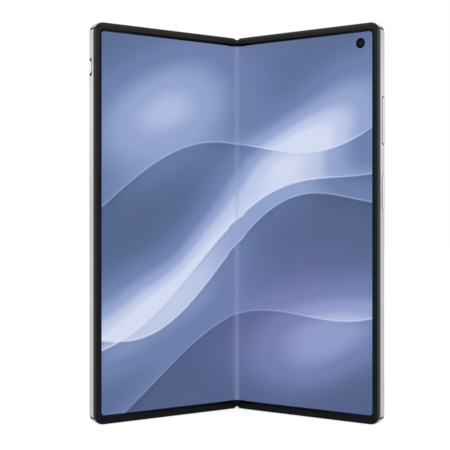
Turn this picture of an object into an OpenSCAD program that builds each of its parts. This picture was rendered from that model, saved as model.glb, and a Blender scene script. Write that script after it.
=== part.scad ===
// Book-style foldable smartphone, half open, standing on its bottom edges.
// +Z runs up along the fold line, the inner screen faces -Y, the right half lies towards +X.
// Each half is drawn flat: x from the fold line outwards, y as depth behind the screen surface, z up.

/* [Body] */
// Height of the phone
body_h = 160; // [140:0.5:180]
// Width of one half, from the fold line to its outer edge
half_w = 71.3; // [62:0.1:84]
// Depth of one half, from the screen surface to its back
half_t = 4.65; // [4.6:0.01:6]
// Radius of the outer corners
corner_r = 4.6; // [4:0.1:9]
// Thickness of the frame wall
wall = 1.8; // [1.4:0.05:2.6]
// Rounding of the frame's back edge
back_round = 1.7; // [0.6:0.05:1.75]
// Rounding of the frame corners beside the fold
notch_r = 2.6; // [1:0.1:3]
// Angle of each half from flat, as the phone stands
rest_angle = 37.5; // [0:0.5:60]

/* [Screen] */
// Thickness of the inner screen
screen_t = 0.45; // [0.3:0.01:0.5]
// Distance of the screen edge from the outer faces
screen_inset = 1.9; // [1.85:0.01:2.3]
// Half width of the stretch of screen that bends
bend_half = 5.5; // [4.5:0.1:6]
// Number of facets along one half of the bend
bend_steps = 24; // [12:2:40]
// Width of the raised rim round the screen
rim_w = 2.6; // [2.3:0.05:3.2]
// Height of the rim above the screen
rim_proud = 0.3; // [0.1:0.01:0.34]
// Thickness of the support plate under the screen
plate_t = 0.4; // [0.3:0.01:0.45]
// Thickness of the glass on the back of each half
glass_t = 0.6; // [0.4:0.01:0.65]
// Distance of the back glass from the outer faces
glass_inset = 1.3; // [1.26:0.01:1.6]
// Distance of the back glass from the fold line
glass_start = 3; // [2.5:0.1:4]

/* [Fold] */
// Distance of each half's turning axis from the fold line
axis_off = 0.45; // [0.36:0.01:0.6]
// Outer radius of the spine cover
spine_r = 3.85; // [3.8:0.01:3.88]
// Wall of the spine cover
spine_wall = 0.3; // [0.2:0.01:0.34]
// Distance of the spine ends from the ends of the halves
spine_recess = 0.3; // [0.2:0.1:1.5]
// Depth at which the spine cover's edges start
spine_edge = 1.1; // [1.05:0.01:1.4]
// Gap between the spine cover and the halves
spine_gap = 0.1; // [0.05:0.01:0.15]
// Gap between the two halves when flat, as the share of one half
split_gap = 0.05; // [0.02:0.01:0.1]
// Height of the lower hinge module's foot
module_z = 24; // [14:1:34]
// Distance between the two hinge modules
module_pitch = 86; // [60:1:92]
// Ratio of wing plate tilt to fold angle
wing_ratio = 0.3; // [0.28:0.01:0.33]
// Thickness of the wing plates
wing_t = 0.35; // [0.25:0.01:0.4]

/* [Gears] */
// Tooth module of the synchroniser gears
tooth_m = 0.15; // [0.14:0.002:0.152]
// Teeth of each pinion
pinion_teeth = 8; // [8:1:8]
// Teeth that the arc would have as a full circle
arc_teeth = 27; // [26:1:27]
// Width of the toothed arcs
arc_l = 2; // [1.5:0.1:2.4]
// Backlash of each tooth
backlash = 0.02; // [0.01:0.005:0.04]
// Radius of the gear pins
pin_r = 0.2; // [0.15:0.01:0.2]
// Running clearance of pins and shafts
run_fit = 0.03; // [0.02:0.005:0.04]

/* [Keys] */
// Width of the side keys across the edge
key_w = 1.9; // [1.5:0.05:2.2]
// Height of the side keys above the frame
key_proud = 0.35; // [0.2:0.01:0.5]
// Gap round the side keys
key_gap = 0.1; // [0.06:0.01:0.15]
// Travel of the power key
key_travel = 0.25; // [0.15:0.01:0.3]
// Length of the volume rocker
rocker_l = 19.4; // [16:0.1:24]
// Distance of the volume rocker's middle from the top edge
rocker_drop = 39.2; // [37:0.1:42]
// Length of the power key
power_l = 13.5; // [10:0.1:16]
// Distance of the power key's middle from the top edge
power_drop = 67.6; // [64:0.1:72]
// Length of the alert slider's slot
slider_l = 7.2; // [6:0.1:9]
// Distance of the alert slider's middle from the top edge
slider_drop = 18; // [14:0.1:26]
// Length of the alert slider's knob
knob_l = 5; // [3:0.1:5.4]

/* [Cameras] */
// Distance of the selfie camera from the side
selfie_side = 9.15; // [7.5:0.05:13]
// Distance of the selfie camera from the top edge
selfie_drop = 7.9; // [7:0.1:9]
// Radius of the selfie camera's hole in the screen
selfie_r = 2; // [1.5:0.05:2.2]
// Distance of the rear camera island's middle from the side
island_side = 21.3; // [20.3:0.1:25]
// Distance of the rear camera island's middle from the top edge
island_drop = 26; // [24:0.1:29]
// Width of the rear camera island
island_w = 27; // [26:0.5:29]
// Height of the rear camera island
island_h = 29; // [28:0.5:31]
// Rise of the rear camera island above the back
island_rise = 1.6; // [1:0.1:2.4]
// Radius of the rear camera windows
window_r = 5; // [4:0.1:5.4]
// Distance of the cover camera from the side
cover_cam_side = 35.3; // [30:0.1:40]
// Distance of the cover camera from the top edge
cover_cam_drop = 12; // [11:0.1:14]
// Radius of the cover camera's hole in the glass
cover_cam_r = 1.6; // [1.2:0.05:2]

/* [Hidden] */
$fn = 64;
cut = 0.01;        // how far cutters reach past a face
far = 20;          // longer than any part is deep
silver = [0.8, 0.81, 0.82];
black = [0.09, 0.09, 0.1];
steel = [0.62, 0.63, 0.65];
board_green = [0.1, 0.22, 0.18];

// Where the fold axes lie, so that the box of the standing phone is centred on the origin
reach_front = (half_w - axis_off) * sin(rest_angle) + rim_proud * cos(rest_angle);
reach_back = half_t * cos(rest_angle) + (axis_off - split_gap) * sin(rest_angle);
fold_y = (reach_front - reach_back) / 2;

// Depths of the layers of a half
plate_top = screen_t + 0.05;
rail_top = 1;
frame_front = 0.3;
glass_top = half_t - glass_t;
slot_depth = 2.3;  // depth of the middle of the side keys and ports

// Places of the keys and cameras, from the fold line and the bottom edge
rocker_z = body_h - rocker_drop;
power_z = body_h - power_drop;
slider_z = body_h - slider_drop;
selfie_x = half_w - selfie_side;
selfie_z = body_h - selfie_drop;
island_x = half_w - island_side;
island_z = body_h - island_drop;
cover_cam_x = half_w - cover_cam_side;
cover_cam_z = body_h - cover_cam_drop;

// Wing plates and the rail that they lie against
wing_x = bend_half + 0.6;
wing_y = 0.95;
wing_bead = 0.3;
wing_gap = 0.06;
wing_end = 1.2;
plate_start = wing_x + wing_bead + 0.15;
rail_end = 7.6;
wing_max = 90 * wing_ratio;
pocket_r = spine_r + spine_gap;

// Hinge module stations along z, from the module's foot
block_l = 1.5;
step_gap = 0.2;
guide_l = 4;
arc_a = block_l + step_gap;
mesh_c = arc_a + arc_l + step_gap;
arc_b = mesh_c + arc_l + step_gap;
block_2 = arc_b + arc_l + step_gap;
guide_a = block_2 + block_l + step_gap;
guide_wall = 1;
guide_b = guide_a + guide_l + 2 * step_gap + guide_wall;
foot_z = guide_b + guide_l + step_gap;
foot_l = 5;
module_l = foot_z + foot_l;
washer_t = 0.3;
washers = 4;
washer_r = 0.75;
shaft_head = 0.4;

// Guide arcs and arms of the brackets
guide_in = 2.3;
guide_out = 2.9;
guide_fit = 0.05;
guide_start = 15;
guide_end = 150;
arc_start = 30;
arm_x = 1.5;
arm_y = 1.25;
arm_t = 0.55;
arm_window = arm_y + arm_t + 0.1;
base_y = 1.35;
base_t = 1.25;
base_x = 4.7;
base_end = 11;
inner_r = spine_r - spine_wall - 0.05;
block_top = 1.15;

// Gears
pressure = 25;
addendum = 0.8 * tooth_m;
dedendum = 1.07 * tooth_m;
pinion_r = tooth_m * pinion_teeth / 2;
arc_r = tooth_m * arc_teeth / 2;
arc_pitch = 360 / arc_teeth;
pinion_pitch = 360 / pinion_teeth;
arc_in = arc_r - dedendum - 0.45;
arc_count = 9;
inner_spot = [pinion_r, 2.5];
outer_spot = meet([axis_off, 0], arc_r + pinion_r, inner_spot, 2 * pinion_r);
arc_to_outer = atan2(outer_spot.y, outer_spot.x - axis_off);
outer_to_inner = atan2(inner_spot.y - outer_spot.y, inner_spot.x - outer_spot.x);

// Phases: a tooth of one gear stands in a gap of the next
first_tooth = [arc_to_outer - 9.8, arc_to_outer - 9.8 - arc_pitch / 2];
outer_phase = [for (s = [0, 1])
  meshed(first_tooth[s] - rest_angle, arc_pitch, arc_to_outer, pinion_pitch)];
inner_phase = [for (s = [0, 1])
  meshed(outer_phase[s], pinion_pitch, outer_to_inner, pinion_pitch)];

// Upper meeting point of two circles
function meet(a, ra, b, rb) =
  let (d = norm(b - a), t = (d * d + ra * ra - rb * rb) / (2 * d), h = sqrt(ra * ra - t * t),
       u = (b - a) / d)
  a + t * u + h * [u.y, -u.x];

// Phase of a gear that meshes, in direction dir, with a gear of a known phase
function meshed(phase, pitch, dir, next_pitch) =
  dir + 180 - next_pitch * (0.5 - (dir - phase) / pitch);

// Half angle of a tooth at radius r
function involute(a) = tan(a) * 180 / PI - a;
function tooth_half(r, pitch_r, teeth) =
  let (base = pitch_r * cos(pressure), a = r > base ? acos(base / r) : 0)
  90 / teeth - backlash / pitch_r * 90 / PI + involute(pressure) - involute(a);
function at(r, a) = r * [cos(a), sin(a)];

// Flanks of one tooth, from root to root
function tooth(mid, pitch_r, teeth) =
  let (root = pitch_r - dedendum, tip = pitch_r + addendum, n = 4,
       radii = [for (i = [0:n]) root + (tip - root) * i / n])
  concat([for (r = radii) at(r, mid - tooth_half(r, pitch_r, teeth))],
         [for (i = [n:-1:0]) at(radii[i], mid + tooth_half(radii[i], pitch_r, teeth))]);

module pinion(phase, length, bore) {
  teeth = [for (i = [0:pinion_teeth - 1]) tooth(phase + i * pinion_pitch, pinion_r, pinion_teeth)];
  linear_extrude(length) difference() {
    polygon([for (t = teeth) each t]);
    if (bore > 0) circle(bore);
  }
}

// Placing: the flat half, turned to rest; the left half is the mirrored right one
module right_half() {
  translate([axis_off, fold_y, 0]) rotate([0, 0, -rest_angle]) translate([-axis_off, 0, 0]) children();
}
module left_half() mirror([1, 0, 0]) right_half() children();
module spine() translate([0, fold_y, 0]) children();
module both_modules() for (z = [module_z, module_z + module_pitch]) translate([0, 0, z]) children();

// A plan drawn as seen from the front, made solid between two depths
module slab(from, to) rotate([90, 0, 0]) translate([0, 0, -to]) linear_extrude(to - from) children();

module rounded(x0, z0, x1, z1, r) {
  translate([x0 + r, z0]) square([x1 - x0 - 2 * r, z1 - z0]);
  translate([x0, z0 + r]) square([x1 - x0, z1 - z0 - 2 * r]);
  for (x = [x0 + r, x1 - r], z = [z0 + r, z1 - r]) translate([x, z]) circle(r);
}

// Outline of a half set in from its outer faces: square at the fold, round at the outer corners
module outline(inset, start) {
  r = corner_r - inset;
  translate([start, inset]) square([half_w - inset - r - start, body_h - 2 * inset]);
  translate([start, inset + r]) square([half_w - inset - start, body_h - 2 * (inset + r)]);
  for (z = [inset + r, body_h - inset - r]) translate([half_w - inset - r, z]) circle(r);
}

// A wall section carried round the three outer sides; u runs inwards and v towards the front
module wall_sweep(start) {
  rotate([90, 0, 0]) {
    translate([half_w, body_h - corner_r, 0]) rotate([90, 0, 0])
      linear_extrude(body_h - 2 * corner_r) mirror([1, 0]) children();
    translate([half_w - corner_r, body_h - corner_r, 0])
      rotate_extrude(angle = 90) translate([corner_r, 0]) mirror([1, 0]) children();
    translate([half_w - corner_r, corner_r, 0]) rotate([0, 0, -90])
      rotate_extrude(angle = 90) translate([corner_r, 0]) mirror([1, 0]) children();
    translate([start, body_h, 0]) rotate([90, 0, 90])
      linear_extrude(half_w - corner_r - start) mirror([1, 0]) children();
    translate([start, 0, 0]) rotate([90, 0, 90])
      linear_extrude(half_w - corner_r - start) children();
  }
}

module frame_section(width) {
  difference() {
    translate([0, -half_t]) square([width, half_t - frame_front]);
    difference() {
      translate([-cut, -half_t - cut]) square([back_round + cut, back_round + cut]);
      translate([back_round, back_round - half_t]) circle(back_round);
    }
    if (width > glass_inset)
      translate([glass_inset, -half_t - cut]) square([width, glass_t + cut]);
  }
}

// Cylinder round a half's turning axis
module about_axis(r, z0, z1) translate([axis_off, 0, z0]) cylinder(r = r, h = z1 - z0);

// Rounds the two frame corners beside the fold
module fold_corners(r, start) {
  for (low = [0, 1]) translate([0, 0, low ? 0 : body_h]) mirror([0, 0, low ? 0 : 1]) difference() {
    translate([start - cut, -far / 2, -cut]) cube([r + cut, far, r + cut]);
    translate([start + r, -far / 2 - cut, r]) rotate([-90, 0, 0]) cylinder(r = r, h = far + 2 * cut);
  }
}

// Hinge-side rail: pocket for the spine, slope for the tilted wing plate, seat for the glass
module rail() {
  slope = (wing_x - axis_off) * tan(wing_max);
  translate([0, 0, back_round]) linear_extrude(body_h - 2 * back_round) difference() {
    polygon([
      [split_gap, half_t], [split_gap, wing_y + slope], [axis_off, wing_y + slope + 0.2],
      [wing_x - 0.2, wing_y + 0.3], [wing_x, rail_top], [rail_end, rail_top], [rail_end, glass_top],
      [glass_start, glass_top], [glass_start, half_t]
    ]);
    translate([axis_off, 0]) circle(pocket_r);
    translate([wing_x, wing_y]) circle(wing_bead + wing_gap);
  }
}

// Floor pads that carry the brackets, and the room cut for them in the rail
function bracket_span(side) = side > 0 ? [arc_a, guide_a + guide_l] : [arc_b, guide_b + guide_l];

module bracket_pads(side) {
  span = bracket_span(side);
  both_modules() translate([rail_end - cut, base_y + base_t, span[0]])
    cube([base_end - rail_end + cut, glass_top - base_y - base_t, span[1] - span[0]]);
}

module bracket_room(side) {
  span = bracket_span(side);
  both_modules() translate([0, -cut, span[0] - step_gap / 2])
    cube([base_end, base_y + base_t + cut, span[1] - span[0] + step_gap]);
}

// Two rows of screws through each bracket, in from its ends
screw_rows = [6.6, 9.6];
screw_in = 1.6;
function screw_spots(side) =
  let (span = bracket_span(side))
  [for (x = screw_rows, z = [span[0] + screw_in, span[1] - screw_in]) [x, z]];
screw_r = 0.45;
screw_head = 0.85;
screw_head_t = 0.35;
screw_l = 2.2;
screw_sunk = 0.05;
socket_r = 0.3;
socket_t = 0.2;

module bracket_screw_shape(play) {
  translate([0, base_y + screw_sunk - play, 0]) rotate([-90, 0, 0]) {
    cylinder(r = screw_head + play, h = screw_head_t + play);
    cylinder(r = screw_r + play, h = screw_l + play);
  }
}

module at_screws(side) both_modules()
  for (spot = screw_spots(side)) translate([spot.x, 0, spot.y]) children();

// Short bands in the outer skin of the frame at the corners
band_t = 0.5;
band_fit = 0.01;
band_w = 1.1;
band_angle = 24;
module band_shape(play) {
  intersection() {
    wall_sweep(split_gap) frame_section(band_t + play);
    for (top = [0, 1])
      translate([half_w - corner_r, 0, top ? body_h - corner_r : corner_r])
        rotate([0, top ? -band_angle : band_angle, 0])
          translate([0, frame_front, -band_w / 2 - play]) cube([far, half_t, band_w + 2 * play]);
  }
}

// A long slot through the outer side wall
module side_slot(z, length, width, from, to) {
  translate([half_w + from, slot_depth, z]) rotate([0, 90, 0]) linear_extrude(to - from)
    slot_2d(length, width);
}
module slot_2d(length, width) {
  square([length - width, width], center = true);
  for (s = [-1, 1]) translate([s * (length - width) / 2, 0]) circle(width / 2);
}

module frame_ring(side) {
  difference() {
    union() {
      wall_sweep(split_gap) frame_section(wall);
      rail();
      bracket_pads(side);
    }
    about_axis(pocket_r, -cut, body_h + cut);
    bracket_room(side);
    at_screws(side) bracket_screw_shape(run_fit);
    fold_corners(notch_r, split_gap);
    band_shape(band_fit);
  }
}

// Rim: a collar on the frame's front whose inner lip covers the screen's edge
lip_gap = 0.04;
rim_start = 0.55;
rim_edge = 0.15;
module rim_section() {
  difference() {
    translate([rim_edge, -frame_front]) square([rim_w - rim_edge, frame_front + rim_proud]);
    translate([screen_inset - lip_gap, -frame_front - cut])
      square([rim_w, frame_front + cut + lip_gap]);
    for (u = [rim_edge, rim_w]) translate([u, rim_proud]) rotate(45)
      square(0.16, center = true);
  }
}
module rim() {
  difference() {
    wall_sweep(rim_start) rim_section();
    fold_corners(notch_r, 0);
  }
}

module display_panel() {
  slab(0, screen_t) outline(screen_inset, bend_half);
}

module support_plate() {
  slab(plate_top, plate_top + plate_t) outline(wall, plate_start);
}

// Bending stretch of screen: turns from the half's plane to the spine's by a smooth step
function smooth(t) = t * t * (3 - 2 * t);
bend_from = at(bend_half - axis_off, -rest_angle);
bend_span = [-axis_off, 0] - bend_from;
function bend_point(t) =
  let (phi = rest_angle * (1 - smooth(t)), u = at(1, -phi))
  [axis_off, 0] + u * (t * (bend_span * bend_span) + bend_from * bend_span) / (u * bend_span);
function bend_normal(t) =
  let (e = 0.002, d = bend_point(max(0, t - e)) - bend_point(min(1, t + e)), edge = t == 0 || t == 1)
  edge ? at(1, 90 - rest_angle * (1 - t)) : [-d.y, d.x] / norm(d);
bend_line = [for (i = [0:bend_steps]) bend_point(i / bend_steps)];
bend_under = [for (i = [0:bend_steps])
  bend_line[i] + screen_t * bend_normal(i / bend_steps)];

module display_fold() color("steelblue") spine() {
  mirrored = function (pts) [for (p = pts) [-p.x, p.y]];
  back = function (pts) [for (i = [len(pts) - 1:-1:0]) pts[i]];
  front_line = concat(bend_line, back([for (i = [0:bend_steps - 1]) mirrored(bend_line)[i]]));
  under_line = concat(bend_under, back([for (i = [0:bend_steps - 1]) mirrored(bend_under)[i]]));
  translate([0, 0, screen_inset]) linear_extrude(body_h - 2 * screen_inset)
    polygon(concat(front_line, back(under_line)));
}

// Wing plate: bead in the rail's groove, blade under the bending screen, cut away at the hinge modules
module wing() {
  wing_low = wall + 1;
  wing_l = body_h - 2 * wing_low;
  below = washers * washer_t + shaft_head + 2 * step_gap;
  translate([wing_x, wing_y, 0]) rotate([0, 0, -rest_angle * wing_ratio])
    translate([-wing_x, -wing_y, wing_low]) {
      translate([wing_x, wing_y, 0]) cylinder(r = wing_bead, h = wing_l);
      difference() {
        translate([wing_end, wing_y - wing_bead, 0]) cube([wing_x - wing_end, wing_t, wing_l]);
        translate([0, 0, -wing_low]) both_modules() translate([0, 0, -below])
          cube([wing_x - wing_bead, far, module_l + below + step_gap]);
      }
    }
}

// Bracket: toothed arc and guide arc on a plate that is screwed to the rail
module ring_part(r_in, r_out, from, to) {
  translate([axis_off, 0]) rotate(from) ring_sector(r_in, r_out, to - from);
}
module ring_sector(r_in, r_out, sweep) {
  difference() {
    circle(r_out);
    circle(r_in);
    // keep only the wanted sweep, which is over 90 and under 180 degrees
    translate([-far, -2 * far]) square([2 * far, 2 * far]);
    rotate(sweep) translate([-far, 0]) square([2 * far, 2 * far]);
  }
}
module below_arm() translate([axis_off, -far]) square([far, far + arm_y]);

module arm() translate([arm_x, arm_y]) square([base_x - arm_x + cut, arm_t]);

module toothed_arc(side) {
  mids = [for (i = [0:arc_count - 1]) first_tooth[side > 0 ? 0 : 1] + i * arc_pitch];
  difference() {
    union() {
      ring_part(arc_in, arc_r - dedendum + cut, arc_start, mids[arc_count - 1] + arc_pitch / 2);
      translate([axis_off, 0]) for (mid = mids) polygon(concat(
        tooth(mid, arc_r, arc_teeth), [at(arc_r - dedendum - 0.1, mid)]));
    }
    below_arm();
  }
  difference() {
    arm();
    translate(outer_spot) circle(pinion_r + addendum + 2 * run_fit);
    translate([axis_off, 0]) circle(arc_in);
  }
}

module guide_arc() {
  difference() {
    ring_part(guide_in, guide_out, guide_start, guide_end);
    below_arm();
  }
  difference() {
    arm();
    translate([axis_off, 0]) circle(guide_in);
  }
}

module bracket(side) {
  span = bracket_span(side);
  arc_z = side > 0 ? arc_a : arc_b;
  guide_z = side > 0 ? guide_a : guide_b;
  both_modules() {
    translate([0, 0, arc_z]) linear_extrude(arc_l) toothed_arc(side);
    translate([0, 0, guide_z]) linear_extrude(guide_l) guide_arc();
  }
  difference() {
    both_modules() translate([base_x, base_y, span[0]])
      cube([base_end - base_x - step_gap, base_t, span[1] - span[0]]);
    at_screws(side) bracket_screw_shape(run_fit);
  }
}

module bracket_screws(side) at_screws(side) difference() {
  bracket_screw_shape(0);
  translate([0, base_y + screw_sunk - cut, 0]) rotate([-90, 0, 0])
    cylinder(r = socket_r, h = socket_t, $fn = 6);
}

// Spine
module spine_section(r, edge) {
  intersection() {
    union() {
      for (s = [-1, 1]) translate([s * axis_off, 0]) circle(r);
      translate([-axis_off, 0]) square([2 * axis_off, r]);
    }
    translate([-far, edge]) square([2 * far, far]);
  }
}

boss_r = 0.8;
boss_h = 1.1;
module spine_cover() color(silver) spine() {
  difference() {
    translate([0, 0, spine_recess]) linear_extrude(body_h - 2 * spine_recess) difference() {
      spine_section(spine_r, spine_edge);
      spine_section(spine_r - spine_wall, 0);
    }
    // windows for the bracket arms
    both_modules() for (side = [1, -1], z = side > 0 ? [arc_a, guide_a] : [arc_b, guide_b])
      translate([side > 0 ? 0 : -far, 0, z - step_gap / 2])
        cube([far, arm_window, (z == arc_a || z == arc_b ? arc_l : guide_l) + step_gap]);
  }
  both_modules() translate([0, spine_r - spine_wall - boss_h, foot_z + foot_l / 2])
    rotate([-90, 0, 0]) difference() {
      cylinder(r = boss_r, h = boss_h + spine_wall / 2);
      translate([0, 0, -cut]) cylinder(r = screw_r, h = 1);
    }
}

module spine_end_caps() color(black) spine()
  for (z = [spine_recess + step_gap, body_h - spine_recess - step_gap - block_l])
    translate([0, 0, z]) linear_extrude(block_l) spine_section(inner_r, block_top);

// Room for a guide arc and its arm in the base block
module guide_groove(side) mirror([side > 0 ? 0 : 1, 0, 0]) translate([axis_off, 0]) difference() {
  union() {
    circle(guide_out + guide_fit);
    square([far, arm_window]);
  }
  circle(guide_in - guide_fit);
}

module pin_bores(length) for (s = [-1, 1]) {
  for (spot = [outer_spot, inner_spot]) translate([s * spot.x, spot.y, -cut])
    cylinder(r = pin_r + run_fit, h = length + 2 * cut);
}

module hinge_bases() color(steel) spine() both_modules() {
  difference() {
    linear_extrude(block_l) spine_section(inner_r, block_top);
    pin_bores(block_l);
  }
  difference() {
    translate([0, 0, block_2]) linear_extrude(module_l - block_2) spine_section(inner_r, block_top);
    translate([0, 0, block_2]) pin_bores(block_l);
    for (part = [[guide_a, 1], [guide_b, -1]]) translate([0, 0, part[0] - step_gap])
      linear_extrude(guide_l + 2 * step_gap) guide_groove(part[1]);
    translate([0, 0, foot_z + foot_l / 2]) rotate([-90, 0, 0]) {
      translate([0, 0, block_top - cut]) cylinder(r = screw_head + run_fit, h = screw_head_t + run_fit);
      cylinder(r = screw_r + run_fit, h = far);
      translate([0, 0, spine_r - spine_wall - boss_h - run_fit]) cylinder(r = boss_r + run_fit, h = far);
    }
  }
}

module base_screws() color(steel) spine() both_modules()
  translate([0, block_top, foot_z + foot_l / 2]) rotate([-90, 0, 0]) difference() {
    union() {
      cylinder(r = screw_head, h = screw_head_t);
      cylinder(r = screw_r - run_fit, h = spine_r - spine_wall - boss_h - block_top + 0.9);
    }
    translate([0, 0, -cut]) cylinder(r = socket_r, h = socket_t, $fn = 6);
  }

module inner_gear_pins() color(steel) spine() both_modules() for (s = [-1, 1])
  translate([s * inner_spot.x, inner_spot.y, 0]) cylinder(r = pin_r, h = block_2 + block_l);

// Washer packs sit on the outer gears' shafts below the first block
module friction_washers() color(steel) spine() both_modules()
  for (s = [-1, 1], i = [0:washers - 1])
    translate([s * outer_spot.x, outer_spot.y, -(i + 1) * washer_t]) difference() {
      cylinder(r = washer_r, h = washer_t - 0.02);
      translate([0, 0, -cut]) cylinder(r = pin_r + run_fit, h = washer_t + 2 * cut);
    }

module inner_gear(side) spine() both_modules() mirror([side > 0 ? 0 : 1, 0, 0])
  translate([inner_spot.x, inner_spot.y, mesh_c])
    pinion(inner_phase[side > 0 ? 0 : 1], arc_l, pin_r + run_fit);

module outer_gear(side) spine() both_modules() mirror([side > 0 ? 0 : 1, 0, 0])
  translate([outer_spot.x, outer_spot.y, 0]) {
    low = side > 0 ? arc_a : mesh_c;
    translate([0, 0, low]) pinion(outer_phase[side > 0 ? 0 : 1], 2 * arc_l + step_gap, 0);
    shaft_from = -washers * washer_t - shaft_head;
    translate([0, 0, shaft_from]) cylinder(r = pin_r, h = block_2 + block_l - shaft_from);
    translate([0, 0, shaft_from]) cylinder(r = 2 * pin_r, h = shaft_head);
  }

module inner_gear_left() color("goldenrod") inner_gear(-1);
module inner_gear_right() color("goldenrod") inner_gear(1);
module outer_gear_left() color("gold") outer_gear(-1);
module outer_gear_right() color("gold") outer_gear(1);

// Left half
battery_y = 1.05;
battery_t = 2.8;
pack_r = 1.5;
board_y = 2.4;
board_t = 0.7;
board_gap = 1;
battery_x = base_end + 0.6;
side_gap = 0.4;
key_room = key_travel + 2.35;

module holes(xs, z, r) for (x = xs) translate([x, slot_depth, z - cut])
  cylinder(r = r, h = wall + 2 * cut);
function row(start, pitch, count) = [for (i = [0:count - 1]) start + i * pitch];
grille_r = 0.5;
grille_pitch = 1.9;
grille_count = 6;
earpiece_start = 28;
speaker_start = 14;
earpiece_holes = row(earpiece_start, grille_pitch, grille_count);
speaker_holes = row(speaker_start, grille_pitch, grille_count);
mic_r = 0.4;
mic_side = 24.3;
mic_x = half_w - mic_side;

module left_frame() color(silver) left_half() difference() {
  frame_ring(-1);
  side_slot(slider_z, slider_l, key_w, -wall - cut, cut);
  holes(earpiece_holes, body_h - wall, grille_r);
  holes([mic_x], 0, mic_r);
}
module left_antenna_bands() color(black) left_half() band_shape(0);
module left_rim() color(black) left_half() rim();
module left_display() color("steelblue") left_half() display_panel();
module left_support_plate() color(steel) left_half() support_plate();
module left_wing() color(steel) left_half() wing();
module left_brackets() color("gray") left_half() bracket(-1);
module left_bracket_screws() color(steel) left_half() bracket_screws(-1);
// Heights of the packs: the left battery ends below the slider's contacts
left_board_h = 38;
left_battery_low = 16;
left_split = body_h - left_board_h;
earpiece_h = 5.7;
earpiece_end = 4;
module left_battery() color("dimgray") left_half() slab(battery_y, battery_y + battery_t)
  rounded(battery_x, left_battery_low, half_w - wall - 3 * side_gap, left_split, pack_r);
module left_board() color(board_green) left_half() difference() {
  slab(board_y, board_y + board_t) rounded(battery_x, left_split + board_gap, half_w - wall - key_room,
    body_h - wall - earpiece_h - 2 * side_gap, board_gap);
  translate([cover_cam_x, -cut, cover_cam_z]) rotate([-90, 0, 0])
    cylinder(r = cover_module_r + side_gap, h = far);
}
module earpiece_speaker() color(black) left_half() slab(battery_y, battery_y + battery_t)
  rounded(earpiece_holes[0] - earpiece_end, body_h - wall - 0.3 - earpiece_h,
    earpiece_holes[grille_count - 1] + earpiece_end, body_h - wall - 0.3, 0.6);

cover_module_r = 2.4;
cover_module_top = 1.2;
module back_panel() slab(glass_top, half_t) outline(glass_inset, glass_start);
module cover_display() color(black) left_half() difference() {
  back_panel();
  translate([cover_cam_x, 0, cover_cam_z]) rotate([-90, 0, 0]) cylinder(r = cover_cam_r + run_fit, h = far);
}
module cover_camera() color([0.05, 0.05, 0.06]) left_half() translate([cover_cam_x, 0, cover_cam_z]) {
  translate([0, cover_module_top, 0]) rotate([-90, 0, 0])
    cylinder(r = cover_module_r, h = glass_top - cover_module_top - 0.05);
  translate([0, glass_top - 0.1, 0]) rotate([-90, 0, 0]) cylinder(r = cover_cam_r, h = glass_t + 0.05);
}

slider_flange = 0.6;
slider_lip = 0.8;
contact_w = 1.6;
contact_t = 1;
module alert_slider() color([0.55, 0.56, 0.58]) left_half() {
  difference() {
    side_slot(slider_z, knob_l, key_w - 2 * key_gap, -wall - slider_flange, key_proud);
    for (i = [-2:2]) translate([half_w + key_proud, -far / 2, slider_z + i * 0.45])
      rotate([-90, 0, 0]) cylinder(r = 0.12, h = far);
  }
  side_slot(slider_z, knob_l + 2 * slider_lip, key_w + 0.5, -wall - slider_flange, -wall - key_gap);
}
module slider_contact() color("goldenrod") left_half()
  translate([half_w - wall - slider_flange - key_gap - contact_t, slot_depth - contact_w / 2,
    slider_z - slider_l / 2 - slider_lip])
    cube([contact_t, contact_w, slider_l + 2 * slider_lip]);

// Right half
usb_side = 35.3;
usb_x = half_w - usb_side;
usb_w = 8.94;
usb_h = 3.06;
usb_l = 7.3;
usb_wall = 0.25;
usb_back = 0.6;
usb_depth = 2.47;
sim_side = 14.3;
sim_x = half_w - sim_side;
sim_w = 10.6;
sim_h = 1.3;
sim_lip = 0.5;
sim_l = 17;

module usb_place() translate([usb_x, usb_depth, 0]) children();
module selfie_bore(r) translate([selfie_x, -cut, selfie_z]) rotate([-90, 0, 0])
  cylinder(r = r, h = far);
module island_outline(grow) rounded(island_x - island_w / 2 - grow, island_z - island_h / 2 - grow,
  island_x + island_w / 2 + grow, island_z + island_h / 2 + grow, island_corner + grow);
island_corner = window_r + 2;
lens_x = window_r + 1;
lens_z = window_r + 2;
lens_spots = [[-lens_x, lens_z], [-lens_x, -lens_z], [lens_x + 0.6, 1.4 - lens_z]];
flash_spot = [lens_x + 0.6, lens_z + 1];
flash_r = 1.8;
module at_lenses() for (spot = lens_spots) translate([island_x + spot.x, 0, island_z + spot.y])
  rotate([-90, 0, 0]) children();

module right_frame() color(silver) right_half() difference() {
  frame_ring(1);
  side_slot(rocker_z, rocker_l, key_w, -wall - cut, cut);
  side_slot(power_z, power_l, key_w, -wall - cut, cut);
  holes(speaker_holes, 0, grille_r);
  holes([mic_x], 0, mic_r);
  holes([mic_x], body_h - wall, mic_r);
  translate([0, 0, -cut]) usb_place() linear_extrude(wall + 2 * cut) slot_2d(usb_w + 0.04, usb_h + 0.04);
  translate([sim_x, slot_depth, -cut]) linear_extrude(wall + 2 * cut)
    slot_2d(sim_w + 2 * sim_lip + 2 * run_fit, sim_h + 2 * run_fit);
}
module right_antenna_bands() color(black) right_half() band_shape(0);
module right_rim() color(black) right_half() rim();
module right_display() color("steelblue") right_half() difference() {
  display_panel();
  selfie_bore(selfie_r);
}
module right_support_plate() color(steel) right_half() difference() {
  support_plate();
  selfie_bore(selfie_r + 0.8);
}
module right_wing() color(steel) right_half() wing();
module right_brackets() color("gray") right_half() bracket(1);
module right_bracket_screws() color(steel) right_half() bracket_screws(1);
main_board_h = 60;
battery_top = body_h - main_board_h;
sim_room = 2.2;
battery_low = wall + sim_l + sim_room;
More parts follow.
